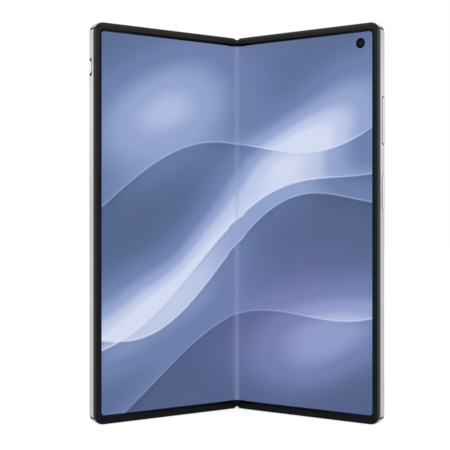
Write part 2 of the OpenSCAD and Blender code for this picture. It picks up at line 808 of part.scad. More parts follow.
module right_battery() color("dimgray") right_half() slab(battery_y, battery_y + battery_t)
  rounded(battery_x, battery_low, half_w - wall - key_room, battery_top, pack_r);

module main_board() color(board_green) right_half() difference() {
  slab(board_y, board_y + board_t) rounded(battery_x, battery_top + board_gap,
    half_w - wall - key_room - board_gap, body_h - wall - side_gap, board_gap);
  at_lenses() cylinder(r = window_r + board_gap, h = far);
  selfie_bore(selfie_module_r + side_gap);
}

// Shield cans: width, height, and the place of the lower corner on the board
can_gap = 3;
can_a = [20.4, 18];
can_b = [20.4, 23];
can_c = [24, 15];
spot_a = [battery_x + board_gap, battery_top + 2 * can_gap];
spot_b = [spot_a.x, spot_a.y + can_a.y + can_gap];
spot_c = [spot_a.x + can_a.x + can_gap, battery_top + can_gap];
module shield_cans() color(steel) right_half()
  for (can = [[spot_a, can_a], [spot_b, can_b], [spot_c, can_c]]) slab(battery_y, board_y)
    rounded(can[0].x, can[0].y, can[0].x + can[1].x, can[0].y + can[1].y, pack_r);

speaker_h = 15.9;
speaker_gap = 2.5;
motor_w = 8.5;
motor_h = 11.8;
motor_x = usb_x + usb_w / 2 + 1;
module bottom_speaker() color(black) right_half() slab(battery_y, battery_y + battery_t)
  rounded(battery_x, wall + 0.3, usb_x - usb_w / 2 - speaker_gap, wall + 0.3 + speaker_h, pack_r);
module vibration_motor() color(steel) right_half() slab(battery_y, battery_y + battery_t)
  rounded(motor_x, wall + side_gap, motor_x + motor_w, wall + side_gap + motor_h, pack_r);
module usb_shell() color(steel) right_half() usb_place() {
  difference() {
    linear_extrude(usb_l) slot_2d(usb_w, usb_h);
    translate([0, 0, -cut]) linear_extrude(usb_l - usb_back + cut)
      slot_2d(usb_w - 2 * usb_wall, usb_h - 2 * usb_wall);
  }
}
tongue_w = 6.7;
tongue_t = 0.7;
tongue_start = 0.9;
module usb_tongue() color(black) right_half() usb_place()
  translate([-tongue_w / 2, -tongue_t / 2, tongue_start])
    cube([tongue_w, tongue_t, usb_l - usb_back - tongue_start]);

// Tray for the card: a door in the frame's slot and an open frame behind it
tray_t = 0.8;
module sim_tray() color(silver) right_half() translate([sim_x, slot_depth, 0]) {
  linear_extrude(wall - 0.2) difference() {
    slot_2d(sim_w + 2 * sim_lip, sim_h);
    translate([sim_w / 2 - 0.6, 0]) circle(0.35);
  }
  translate([-sim_w / 2, -tray_t / 2, wall - 0.2 - cut]) difference() {
    cube([sim_w, tray_t, sim_l - wall]);
    translate([0.8, -cut, 2]) cube([sim_w - 1.6, tray_t + 2 * cut, sim_l - wall - 4]);
  }
}
selfie_module_r = 2.8;
selfie_module_t = 2.4;
module selfie_camera() color([0.04, 0.04, 0.05]) right_half()
  translate([selfie_x, 0, selfie_z]) rotate([-90, 0, 0]) {
    translate([0, 0, 0.06]) cylinder(r = selfie_r - 0.05, h = battery_y + 0.1);
    translate([0, 0, battery_y]) cylinder(r = selfie_module_r, h = selfie_module_t);
  }

module back_glass() color([0.15, 0.16, 0.17]) right_half() difference() {
  back_panel();
  slab(0, far) island_outline(run_fit);
}
island_floor = glass_top - 0.3;
module camera_island() color(black) right_half() difference() {
  union() {
    slab(island_floor, half_t + island_rise - 0.5) island_outline(0);
    slab(half_t + island_rise - 0.5 - cut, half_t + island_rise) island_outline(-0.5);
  }
  at_lenses() cylinder(r = window_r + run_fit, h = far);
  translate([island_x + flash_spot.x, 0, island_z + flash_spot.y]) rotate([-90, 0, 0])
    cylinder(r = flash_r + run_fit, h = far);
}
window_t = 0.8;
module camera_windows() color([0.1, 0.1, 0.14]) right_half() at_lenses()
  translate([0, 0, half_t + island_rise - window_t + 0.2]) difference() {
    cylinder(r = window_r, h = window_t);
    translate([0, 0, window_t - 0.15]) difference() {
      cylinder(r = window_r - 0.5, h = 1);
      cylinder(r = window_r - 2.6, h = 0.14);
    }
  }
module camera_modules() color([0.3, 0.3, 0.32]) right_half() at_lenses() {
  translate([0, 0, battery_y]) cylinder(r = window_r - 0.2, h = half_t + island_rise - window_t - battery_y);
}
module flash_window() color([0.95, 0.93, 0.8]) right_half()
  translate([island_x + flash_spot.x, 0, island_z + flash_spot.y]) rotate([-90, 0, 0])
    translate([0, 0, island_floor]) cylinder(r = flash_r, h = half_t + island_rise - island_floor - 0.05);

// A side key: crown through the slot and a flange behind the wall
flange_t = 0.5;
flange_gap = key_travel + 0.05;
module side_key(z, length, end_gap) {
  side_slot(z, length - 2 * end_gap, key_w - 2 * key_gap, -wall - flange_gap - cut, key_proud);
  side_slot(z, length + 0.8, key_w + 0.6, -wall - flange_gap - flange_t, -wall - flange_gap);
}
rocker_end = 0.45;
// The rocker tips about a bead on its flange, which bears on the wall's inner face
rocker_axis = wall + flange_gap + 0.2;
rocker_bead = rocker_axis - wall - 0.05;
module volume_rocker() color(silver) right_half() {
  side_key(rocker_z, rocker_l, rocker_end);
  translate([half_w - rocker_axis, slot_depth, rocker_z]) rotate([90, 0, 0])
    cylinder(r = rocker_bead, h = key_w + 0.6, center = true);
}
module power_key() color(silver) right_half() side_key(power_z, power_l, key_gap);
switch_x = half_w - wall - flange_gap - flange_t - key_travel - 0.1;
switch_size = [0.8, 2, 3];
module key_switches() color("goldenrod") right_half()
  for (z = [rocker_z - rocker_l / 3, rocker_z + rocker_l / 3, power_z])
    translate([switch_x - switch_size.x, slot_depth - switch_size.y / 2, z - switch_size.z / 2])
      cube(switch_size);

spine_cover();
spine_end_caps();
hinge_bases();
base_screws();
inner_gear_pins();
friction_washers();
inner_gear_left();
inner_gear_right();
outer_gear_left();
outer_gear_right();
display_fold();
left_frame();
left_antenna_bands();
left_rim();
left_display();
left_support_plate();
left_wing();
left_brackets();
left_bracket_screws();
left_battery();
left_board();
earpiece_speaker();
cover_display();
cover_camera();
alert_slider();
slider_contact();
right_frame();
right_antenna_bands();
right_rim();
right_display();
right_support_plate();
right_wing();
right_brackets();
right_bracket_screws();
right_battery();
main_board();
shield_cans();
bottom_speaker();
vibration_motor();
usb_shell();
usb_tongue();
sim_tray();
selfie_camera();
back_glass();
camera_island();
camera_windows();
camera_modules();
flash_window();
volume_rocker();
power_key();
key_switches();
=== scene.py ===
import bpy
import math
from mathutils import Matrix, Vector
from mathutils.geometry import tessellate_polygon


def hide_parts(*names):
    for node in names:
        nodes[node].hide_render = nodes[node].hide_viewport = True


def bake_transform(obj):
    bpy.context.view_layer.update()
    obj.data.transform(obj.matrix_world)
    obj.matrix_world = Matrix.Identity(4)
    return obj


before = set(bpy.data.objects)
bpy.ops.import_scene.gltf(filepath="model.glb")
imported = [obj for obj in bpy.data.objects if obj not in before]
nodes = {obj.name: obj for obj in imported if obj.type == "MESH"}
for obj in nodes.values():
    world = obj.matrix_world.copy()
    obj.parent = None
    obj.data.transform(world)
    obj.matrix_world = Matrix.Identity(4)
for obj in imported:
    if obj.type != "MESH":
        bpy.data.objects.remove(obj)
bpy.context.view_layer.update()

MM = 0.001  # a millimetre in metres
TO_MM = 1000.0  # metres to millimetres, inside the materials

# ---------------------------------------------------------------- sizes, in millimetres
# Those of the part have the names that they have in the CAD source.
BODY_H, HALF_W, HALF_T, CORNER_R = 160.0, 71.3, 4.65, 4.6
FOLD_Y, AXIS_OFF, REST = 19.718078, 0.45, math.radians(37.5)
SCREEN_T, SCREEN_INSET, BEND_HALF = 0.45, 1.9, 5.5
SELFIE_X, SELFIE_Z, SELFIE_R = 62.15, 152.1, 2.0
ISLAND_X, ISLAND_Z, WINDOW_R = 50.0, 134.0, 5.0
LENS_SPOTS = [(-6.0, 7.0), (-6.0, -7.0), (6.6, -5.6)]  # from the island's middle, as the flash's
FLASH_SPOT, FLASH_R = (6.6, 8.0), 1.8
COVER_CAM, COVER_CAM_R = (36.0, 148.0), 1.6
COS, SIN = math.cos(REST), math.sin(REST)

# The folding screen, which only the scene has in one piece for each half
BEND_T = 0.38  # it thins where it bends, to clear the brackets
BEND_STEPS = 48  # columns from the flat panel to the middle of the bend
THIN_STEPS = 12  # columns over which it thins
CORNER_STEPS = 12  # steps round each outer corner
HOLE_STEPS = 64  # steps round the camera's hole
FRONT, EDGE = 0, 1  # its material slots

# Lit area of the inner screen, active area of the cover screen: middle, half size, corner radius
LIT_AREA = ((0.0, 80.02), (67.6, 76.37), 1.3)
COVER_AREA = ((37.3, 80.0), (31.4, 76.6), 4.0)
MASK_SOFT = 0.06  # half the width of a mask's soft edge

# ---------------------------------------------------------------- looks that materials share
NOISE_LOW, NOISE_HIGH = 0.3, 0.7  # most of a noise lies between these
SMEAR_LOW, SMEAR_HIGH = 0.35, 0.75  # only the strongest smears on glass show
BLOTCH, GRAIN, BRUSHING = 45, 5200, 2200  # noise scales on metal: uneven gloss, blasting, brushing
CLOUD, SPARK = 70, 2600  # noise scales on plastic: uneven gloss, spark-eroded grain
TONE_SHARE, GLOSS_SHARE = 0.7, 0.5  # how much of a metal's uneven tone and gloss is blotches
METAL_TONES, PLASTIC_TONES = (0.92, 1.04), (0.82, 1.12)  # darkest and lightest part of a colour
METAL_BUMP, PLASTIC_BUMP, FROST_BUMP = 0.00004, 0.00003, 0.00002  # depth of the grain, metres
FRAME_EDGE, RIM_EDGE = 0.0003, 0.00035  # softened edges, metres


def at_rest(x, y, z, side=1):
    """Where a point of the flat half (distance from the fold, depth, height) stands at rest."""
    px = AXIS_OFF + (x - AXIS_OFF) * COS + y * SIN
    py = FOLD_Y - (x - AXIS_OFF) * SIN + y * COS
    return Vector((side * px, py, z)) * MM


# ---------------------------------------------------------------- camera
CAMERA_AWAY, CAMERA_HEIGHT = 0.5, 0.08  # in front of the fold and above the floor, metres

camera_data = bpy.data.cameras.new("camera")
camera = bpy.data.objects.new("camera", camera_data)
bpy.context.scene.collection.objects.link(camera)
camera.location = (0.0, FOLD_Y * MM - CAMERA_AWAY, CAMERA_HEIGHT)
camera.rotation_euler = (math.radians(90), 0, 0)
camera_data.lens = 92.5
camera_data.sensor_width = 36
camera_data.shift_x = -0.0265
camera_data.shift_y = -0.0037
bpy.context.scene.camera = camera
bpy.context.scene.view_settings.view_transform = "Standard"


# ---------------------------------------------------------------- node helpers
def srgb(r, g, b):
    """8-bit screen colour as linear RGBA."""
    def lin(c):
        c /= 255
        return c / 12.92 if c <= 0.04045 else ((c + 0.055) / 1.055) ** 2.4
    return (lin(r), lin(g), lin(b), 1.0)


def grey(v):
    """A neutral, faintly cool linear tone."""
    return (0.985 * v, 0.992 * v, v, 1.0)


def scaled(colour, factor):
    """A colour made darker or lighter, no channel above 1."""
    return tuple(min(1, c * factor) for c in colour[:3]) + (1,)


class Tree:
    """Short words for building the node tree of a material or of the world."""

    def __init__(self, owner, output="ShaderNodeOutputMaterial"):
        self.owner = owner
        owner.use_nodes = True
        self.tree = owner.node_tree
        self.tree.nodes.clear()
        self.out = self.node(output)

    def node(self, kind, **settings):
        made = self.tree.nodes.new(kind)
        for key, value in settings.items():
            setattr(made, key, value)
        return made

    def feed(self, socket, value):
        """Link a socket to another one's output, or set its own value."""
        if isinstance(value, bpy.types.NodeSocket):
            self.tree.links.new(value, socket)
        else:
            socket.default_value = value

    def math(self, operation, *values):
        made = self.node("ShaderNodeMath", operation=operation)
        for i, value in enumerate(values):
            self.feed(made.inputs[i], value)
        return made.outputs[0]

    def add(self, a, b): return self.math("ADD", a, b)
    def sub(self, a, b): return self.math("SUBTRACT", a, b)
    def mul(self, a, b): return self.math("MULTIPLY", a, b)
    def div(self, a, b): return self.math("DIVIDE", a, b)

    def total(self, *values):
        out = values[0]
        for value in values[1:]:
            out = self.add(out, value)
        return out

    def length(self, a, b):
        return self.math("SQRT", self.add(self.mul(a, a), self.mul(b, b)))

    def blend(self, a, b, share):
        """Two noises added up, with this share of the first."""
        return self.add(self.mul(a, share), self.mul(b, 1 - share))

    def fall(self, d, width):
        """A bell over d, 1 at zero."""
        q = self.div(d, width)
        return self.math("EXPONENT", self.mul(self.mul(q, q), -1.0))

    def ramp(self, value, low, high, to_low=0.0, to_high=1.0, smooth=True):
        made = self.node("ShaderNodeMapRange", clamp=True,
                         interpolation_type="SMOOTHSTEP" if smooth else "LINEAR")
        for i, v in enumerate((value, low, high, to_low, to_high)):
            self.feed(made.inputs[i], v)
        return made.outputs[0]

    def spread(self, noise, to_low=0.0, to_high=1.0):
        """A noise stretched over a range of values."""
        return self.ramp(noise, NOISE_LOW, NOISE_HIGH, to_low, to_high)

    def mix(self, share, a, b):
        made = self.node("ShaderNodeMix", data_type="RGBA")
        for i, value in ((0, share), (6, a), (7, b)):
            self.feed(made.inputs[i], value)
        return made.outputs[2]

    def colours(self, value, stops):
        made = self.node("ShaderNodeValToRGB")
        ramp = made.color_ramp
        ramp.interpolation = "EASE"
        while len(ramp.elements) < len(stops):
            ramp.elements.new(0.5)
        for element, (place, colour) in zip(ramp.elements, stops):
            element.position = place
            element.color = colour
        self.feed(made.inputs[0], value)
        return made.outputs[0]

    def place(self):
        """Rest coordinates, metres."""
        return self.node("ShaderNodeTexCoord").outputs["Object"]

    def mapped(self, vector, **settings):
        made = self.node("ShaderNodeMapping", vector_type="POINT")
        self.feed(made.inputs["Vector"], vector)
        for key, value in settings.items():
            made.inputs[key].default_value = value
        return made.outputs[0]

    def flat(self, side):
        """Rest coordinates turned into those of at_rest, metres."""
        return self.mapped(self.place(), Scale=(side, 1, 1), Rotation=(0, 0, REST), Location=(
            (AXIS_OFF - (COS * AXIS_OFF - SIN * FOLD_Y)) * MM,
            -(SIN * AXIS_OFF + COS * FOLD_Y) * MM, 0))

    def stretched(self, vector, scale):
        return self.mapped(vector, Scale=scale)

    def xyz(self, vector):
        made = self.node("ShaderNodeSeparateXYZ")
        self.feed(made.inputs[0], vector)
        return made.outputs[0], made.outputs[1], made.outputs[2]

    def noise(self, vector, scale, detail=3.0, rough=0.5, distort=0.0):
        made = self.node("ShaderNodeTexNoise")
        self.feed(made.inputs["Vector"], vector)
        made.inputs["Scale"].default_value = scale
        made.inputs["Detail"].default_value = detail
        made.inputs["Roughness"].default_value = rough
        made.inputs["Distortion"].default_value = distort
        return made.outputs[0]

    def bump(self, height, strength, distance, normal=None):
        made = self.node("ShaderNodeBump")
        self.feed(made.inputs["Height"], height)
        made.inputs["Strength"].default_value = strength
        made.inputs["Distance"].default_value = distance
        if normal is not None:
            self.feed(made.inputs["Normal"], normal)
        return made.outputs[0]

    def bevel(self, radius):
        made = self.node("ShaderNodeBevel", samples=4)
        made.inputs["Radius"].default_value = radius
        return made.outputs[0]

    def surface(self, **inputs):
        """The shader; a keyword names its socket, with _ for a space."""
        made = self.node("ShaderNodeBsdfPrincipled")
        for key, value in inputs.items():
            self.feed(made.inputs[key.replace("_", " ")], value)
        self.show(made.outputs[0])
        return self.owner

    def show(self, shader):
        self.tree.links.new(shader, self.out.inputs[0])

    def seen(self):
        """1 for what the camera sees, straight, mirrored or through glass."""
        path = self.node("ShaderNodeLightPath").outputs
        return self.math("MAXIMUM", path["Is Camera Ray"],
                         self.math("MAXIMUM", path["Is Glossy Ray"], path["Is Transmission Ray"]))


def material_tree(name):
    return Tree(bpy.data.materials.new(name))


# ---------------------------------------------------------------- materials
def metal(name, colour, rough, grain=0.03, brushed=None, soft_edge=0.0):
    """Anodised, blasted or brushed metal: uneven gloss, fine grain and softened edges."""
    t = material_tree(name)
    at = t.place()
    wide = t.noise(at, BLOTCH, detail=3)
    if brushed:
        fine = t.noise(t.stretched(at, brushed), BRUSHING, detail=4)
    else:
        fine = t.noise(at, GRAIN, detail=2)
    return t.surface(
        Base_Color=t.mix(t.spread(t.blend(wide, fine, TONE_SHARE)),
                         *(scaled(colour, factor) for factor in METAL_TONES)),
        Metallic=1.0,
        Roughness=t.spread(t.blend(wide, fine, GLOSS_SHARE), rough - 0.05, rough + 0.06),
        Normal=t.bump(fine, grain, METAL_BUMP, t.bevel(soft_edge) if soft_edge else None))


# Tones of the frame from the rim (0) to the back face (1), painted shading: painted shade by the
# rim, painted highlights nearer the back face
FRAME_SHADING_TONES = [
    (0.06, 0.44), (0.15, 0.60), (0.34, 0.48), (0.60, 0.50), (0.74, 0.80), (0.86, 0.72), (1.0, 0.57),
]
HIGHLIGHT_Z, HIGHLIGHT_REACH = 126.0, 30.0  # middle and reach of its paler stretch, a painted reflection, millimetres
HIGHLIGHT_TONE, HIGHLIGHT_SHARE, HIGHLIGHT_END = 0.80, 0.6, (0.7, 0.95)  # the painted reflection's paler tone ends before the back face
LOW_SHADE_FROM, LOW_SHADE_TO = 15.0, 78.0  # the painted shade low down fades out between these heights, millimetres
LOW_SHADE_TONE, LOW_SHADE_SHARE = 0.22, 0.28
BLOTCH_TONE, BLOTCH_SHARE = 0.30, 0.07


def frame_metal(name, side):
    """Blasted aluminium of the frames, with painted light: painted shade by the rim and low down,
    painted highlights at the back edge and across the upper part.
    """
    t = material_tree(name)
    at = t.flat(side)
    _, y, z = t.xyz(at)
    wide, fine = t.noise(at, BLOTCH, detail=3), t.noise(at, GRAIN, detail=2)
    depth, height = t.div(t.mul(y, TO_MM), HALF_T), t.mul(z, TO_MM)
    # painted reflection across the upper frame, fading out before the back edge
    pale = t.mul(t.fall(t.sub(height, HIGHLIGHT_Z), HIGHLIGHT_REACH), t.ramp(depth, *HIGHLIGHT_END, 1.0, 0.0))
    # painted shade by the rim and painted highlights towards the back face
    base = t.colours(depth, [(level, grey(tone)) for level, tone in FRAME_SHADING_TONES])
    base = t.mix(t.mul(pale, HIGHLIGHT_SHARE), base, grey(HIGHLIGHT_TONE))
    # painted shade, darker low down
    base = t.mix(t.ramp(height, LOW_SHADE_FROM, LOW_SHADE_TO, LOW_SHADE_SHARE, 0.0), base, grey(LOW_SHADE_TONE))
    blotches = t.spread(t.blend(wide, fine, TONE_SHARE))
    base = t.mix(t.mul(blotches, BLOTCH_SHARE), base, grey(BLOTCH_TONE))
    return t.surface(
        Base_Color=base, Metallic=1.0,
        Roughness=t.spread(t.blend(wide, fine, GLOSS_SHARE), 0.24, 0.34),
        Normal=t.bump(fine, 0.03, METAL_BUMP, t.bevel(FRAME_EDGE)))


RIM_HIGHLIGHT_WIDTH = 1.8  # width over which the rim turns greyer towards its outer edge, a painted highlight, millimetres
RIM_LOW, RIM_HIGH, RIM_GRAIN = 0.0022, 0.0225, 0.004  # tones: bottom (darker, painted shade), top, grain
RIM_HIGHLIGHT_TONES = {-1: 0.07, 1: 0.13}  # tone of the painted highlight on the outer edge of each half, paler on the right
RIM_TOP_HIGHLIGHT = 0.8  # how much of that painted highlight the upper edge takes


def rim_plastic(name, side):
    """Satin black rim, with painted light: greyer towards its outer edge as a painted highlight,
    darker along the bottom as painted shade.
    """
    t = material_tree(name)
    at = t.flat(side)
    x, _, z = t.xyz(at)
    fine, wide = t.noise(at, SPARK, detail=3, rough=0.6), t.noise(at, CLOUD, detail=2)
    height = t.mul(z, TO_MM)
    # mask of the painted highlight along the outer and upper edges
    outer = t.math("MAXIMUM",
                   t.ramp(t.mul(x, TO_MM), HALF_W - RIM_HIGHLIGHT_WIDTH, HALF_W - 0.1, smooth=False),
                   t.ramp(height, BODY_H - RIM_HIGHLIGHT_WIDTH, BODY_H, 0.0, RIM_TOP_HIGHLIGHT, smooth=False))
    # painted shade: darker towards the bottom
    base = t.mix(t.ramp(height, 0.0, BODY_H, smooth=False), grey(RIM_LOW), grey(RIM_HIGH))
    base = t.mix(t.mul(t.blend(fine, wide, 0.5), 0.5), base, grey(RIM_GRAIN))
    base = t.mix(t.mul(outer, outer), base, grey(RIM_HIGHLIGHT_TONES[side]))
    return t.surface(
        Base_Color=base, Roughness=t.spread(wide, 0.36, 0.48), Specular_IOR_Level=0.10,
        Normal=t.bump(fine, 0.06, PLASTIC_BUMP, t.bevel(RIM_EDGE)))


def plastic(name, colour, rough, scale=SPARK, grain=0.12, specular=0.4, soft_edge=0.0):
    """Moulded plastic with spark-eroded grain and slightly uneven gloss."""
    t = material_tree(name)
    at = t.place()
    fine, wide = t.noise(at, scale, detail=3, rough=0.6), t.noise(at, CLOUD, detail=2)
    return t.surface(
        Base_Color=t.mix(t.blend(fine, wide, 0.5),
                         *(scaled(colour, factor) for factor in PLASTIC_TONES)),
        Roughness=t.spread(wide, rough - 0.06, rough + 0.06),
        Specular_IOR_Level=specular,
        Normal=t.bump(fine, grain, PLASTIC_BUMP, t.bevel(soft_edge) if soft_edge else None))


def glass_back(name):
    """Frosted back glass: matt, etched, with a faint drifting tone that is paler towards the top.
    """
    t = material_tree(name)
    at = t.flat(1)
    etched = t.noise(at, scale=4200, detail=3, rough=0.6)
    drift = t.noise(t.stretched(at, (1, 1, 0.35)), scale=14, detail=2, rough=0.5, distort=0.6)
    _, _, z = t.xyz(at)
    # tone drifts at random and grows paler towards the top
    tone = t.blend(drift, t.div(z, BODY_H * MM), 0.6)
    return t.surface(
        Base_Color=t.colours(tone, [(0.2, srgb(108, 112, 120)), (0.8, srgb(132, 137, 146))]),
        Roughness=t.spread(etched, 0.34, 0.46), Specular_IOR_Level=0.5,
        Coat_Weight=0.25, Coat_Roughness=0.2,
        Normal=t.bump(etched, 0.08, FROST_BUMP))


def distance_to(t, at, spot):
    """Distance in the plane of the half from a spot (x, z), millimetres."""
    x, _, z = t.xyz(at)
    return t.length(t.sub(t.mul(x, TO_MM), spot[0]), t.sub(t.mul(z, TO_MM), spot[1]))


LENS_RIPPLES, FLASH_RIPPLES = 42.0, 30.0  # fine rings within the radius, as an angle of the sine
FLASH_BUMP = 0.00008  # depth of the flash's rings, metres


def lens(name, side, spots, radius, rings, specular=0.3, coat=0.5):
    """Coated lens under a cover glass: dark iris, rings of the barrel and a tinted coating."""
    t = material_tree(name)
    at = t.flat(side)
    near = distance_to(t, at, spots[0])
    for spot in spots[1:]:
        near = t.math("MINIMUM", near, distance_to(t, at, spot))
    share = t.div(near, radius)
    return t.surface(
        Base_Color=t.colours(share, rings),
        Roughness=t.spread(t.noise(at, scale=900, detail=3), 0.03, 0.09),
        Specular_IOR_Level=specular,
        # thinner over the iris; without a coat the weight stays a plain number on the socket
        Coat_Weight=t.ramp(share, 0.2, 0.9, 0.6 * coat, coat) if coat else 0.0,
        Coat_Roughness=0.03,
        Normal=t.bump(t.math("SINE", t.mul(share, LENS_RIPPLES)), 0.05, PLASTIC_BUMP))


def flash(name):
    """Flash diffuser: pale moulded rings over a warm emitter."""
    t = material_tree(name)
    at = t.flat(1)
    share = t.div(distance_to(t, at, (ISLAND_X + FLASH_SPOT[0], ISLAND_Z + FLASH_SPOT[1])), FLASH_R)
    return t.surface(
        Base_Color=t.colours(share, [
            (0.0, srgb(246, 222, 150)), (0.45, srgb(246, 236, 200)), (0.9, srgb(226, 226, 222))]),
        Roughness=t.spread(t.noise(at, scale=1500, detail=2), 0.12, 0.25), Specular_IOR_Level=0.5,
        Normal=t.bump(t.math("SINE", t.mul(share, FLASH_RIPPLES)), 0.3, FLASH_BUMP))


def rounded_mask(t, x, z, centre, half, r):
    """1 inside a rounded rectangle given in millimetres, 0 outside."""
    def past(value, middle, reach):
        return t.math("MAXIMUM", t.sub(t.math("ABSOLUTE", t.sub(value, middle)), reach - r), 0.0)
    d = t.length(past(x, centre[0], half[0]), past(z, centre[1], half[1]))
    return t.ramp(d, r - MASK_SOFT, r + MASK_SOFT, 1.0, 0.0)


def cover_glass(name):
    """Cover screen, switched off: black active area inside a slightly different border."""
    t = material_tree(name)
    at = t.flat(-1)
    x, _, z = t.xyz(at)
    mask = rounded_mask(t, t.mul(x, TO_MM), t.mul(z, TO_MM), *COVER_AREA)
    smear = t.noise(t.stretched(at, (1, 1, 0.5)), scale=60, detail=5, rough=0.6, distort=0.4)
    border, active = (0.003, 0.003, 0.0035, 1), (0.010, 0.011, 0.014, 1)
    return t.surface(
        Base_Color=t.mix(mask, border, active),
        Roughness=t.ramp(smear, SMEAR_LOW, SMEAR_HIGH, 0.02, 0.11), Specular_IOR_Level=0.25,
        Normal=t.bump(t.noise(at, scale=500, detail=2), 0.006, METAL_BUMP))


# ---------------------------------------------------------------- the lit screen's wallpaper
# Places and lengths are millimetres on the flat screen.
# Soft glows: middle, angle in degrees, half length, half width, strength
GLOWS = [
    ((-46, 44), 28, 42, 15, 0.62),
    ((-10, 76), 40, 30, 9, 0.34),
    ((34, 112), 32, 40, 14, 0.66),
    ((46, 34), 18, 36, 15, 0.50),
    ((-38, 126), 24, 40, 19, 0.50),
]
VIOLET_GLOW, VIOLET_SHARE, VIOLET = ((28, 38), 20, 40, 26), 0.35, srgb(132, 128, 190)
# Silk waves: height at the fold, slope, swing, length, phase, reach of the fade above it, strength
WAVES = [
    (66.0, 0.42, 13.0, 21.0, 0.4, 13.0, 0.24),
    (73.0, 0.50, 11.0, 23.0, 0.9, 7.0, 0.22),
    (108.0, 0.30, 12.0, 25.0, 2.6, 12.0, 0.18),
    (30.0, 0.34, 11.0, 24.0, 1.7, 11.0, 0.20),
]
PALETTE = [
    (0.00, srgb(48, 63, 100)), (0.18, srgb(80, 97, 135)), (0.42, srgb(110, 128, 173)),
    (0.66, srgb(148, 165, 208)), (0.86, srgb(190, 202, 233)), (1.00, srgb(214, 221, 244)),
]
DARKEST, TOP_LIFT = 0.17, 0.10  # tone of the ground, and how much it gains towards the top
DRIFT = 14.0  # how far the glows wander
EDGE_SOFT = 0.25  # half the width of a wave's soft edge
SHADE_REACH, SHADE_SHARE = 3.2, 0.55  # the shade below it
HAIR_WIDTH, HAIR_SHARE = 0.38, 0.22  # the bright hairline along it
# painted reflection of the lamps on the bend: a pale band along the fold, put into the screen's own
# light; half width, share, tone
CREASE_REFLECTION_WIDTH, CREASE_REFLECTION_SHARE, CREASE_REFLECTION_TONE = 0.9, 0.30, srgb(156, 166, 200)
EYE_GAP = (0.05, 0.15)  # the lit area fades in between these distances from the camera's hole
BORDER_FADE = (40.0, 66.0)  # the border turns from black to blue between these places across
BORDER_BLACK, BORDER_BLUE = (0.001, 0.0015, 0.004, 1), srgb(13, 26, 44)
SCREEN_GROUND = (0.004, 0.005, 0.008, 1)  # colour of the glass under the picture
SCREEN_LIGHT = 0.97  # strength at which the picture's colours come out as they are given


def lobe(t, x, z, centre, angle, wide, narrow):
    """A soft elliptical glow."""
    c, s = math.cos(math.radians(angle)), math.sin(math.radians(angle))
    dx, dz = t.sub(x, centre[0]), t.sub(z, centre[1])
    along = t.add(t.mul(dx, c), t.mul(dz, s))
    across = t.sub(t.mul(dz, c), t.mul(dx, s))
    return t.mul(t.fall(along, wide), t.fall(across, narrow))


def wave(t, x, z, level, slope, swing, length, phase):
    """Height above a long wavy line that crosses both halves."""
    sway = t.mul(t.math("SINE", t.add(t.div(x, length), phase)), swing)
    return t.sub(z, t.add(sway, t.add(t.mul(x, slope), level)))


def screen(name):
    """The lit inner screen: made-up wallpaper of silk waves and dark border, with a painted
    reflection along the soft crease.
    """
    t = material_tree(name)
    uv = t.node("ShaderNodeUVMap", uv_map="screen").outputs[0]
    u, v, _ = t.xyz(uv)
    x, z = t.mul(t.sub(u, 0.5), 2 * HALF_W), t.mul(v, BODY_H)
    drift = t.sub(t.noise(t.stretched(uv, (1.0, 1.2, 1.0)), scale=2.2, detail=1.0), 0.5)
    wandering = t.add(z, t.mul(drift, DRIFT))
    light = t.total(
        DARKEST,
        *(t.mul(lobe(t, x, wandering, *glow), strength) for *glow, strength in GLOWS),
        t.mul(t.div(z, BODY_H), TOP_LIFT))
    # each wave is a bright fold with a thin shade below it and a slow fade above it
    edges = 0.0
    for *line, reach, strength in WAVES:
        d = wave(t, x, z, *line)
        above = t.ramp(d, -EDGE_SOFT, EDGE_SOFT)
        glow = t.mul(above, t.math("EXPONENT", t.mul(t.math("MAXIMUM", d, 0.0), -1.0 / reach)))
        shade = t.mul(t.sub(1.0, above),
                      t.math("EXPONENT", t.mul(t.math("MINIMUM", d, 0.0), 1.0 / SHADE_REACH)))
        hair = t.fall(d, HAIR_WIDTH)
        edges = t.total(edges, t.mul(glow, strength), t.mul(shade, -SHADE_SHARE * strength),
                        t.mul(hair, HAIR_SHARE))
    picture = t.colours(t.add(light, edges), PALETTE)
    violet = t.mul(lobe(t, x, wandering, *VIOLET_GLOW), VIOLET_SHARE)
    picture = t.mix(violet, picture, VIOLET)
    # painted reflection along the crease
    picture = t.mix(t.mul(t.fall(x, CREASE_REFLECTION_WIDTH), CREASE_REFLECTION_SHARE), picture, CREASE_REFLECTION_TONE)
    from_eye = t.length(t.sub(x, SELFIE_X), t.sub(z, SELFIE_Z))
    eye = t.ramp(from_eye, SELFIE_R + EYE_GAP[0], SELFIE_R + EYE_GAP[1])
    lit = t.mul(rounded_mask(t, x, z, *LIT_AREA), eye)
    border = t.mix(t.ramp(t.math("ABSOLUTE", x), *BORDER_FADE), BORDER_BLACK, BORDER_BLUE)
    smear = t.noise(t.stretched(uv, (1.0, 1.1, 1.0)), scale=6, detail=5, rough=0.6, distort=0.5)
    return t.surface(
        Base_Color=t.mix(lit, border, SCREEN_GROUND), Specular_IOR_Level=0.05,
        Roughness=t.ramp(smear, SMEAR_LOW, SMEAR_HIGH, 0.05, 0.16),
        Emission_Color=t.mix(lit, (0, 0, 0, 1), picture), Emission_Strength=SCREEN_LIGHT)


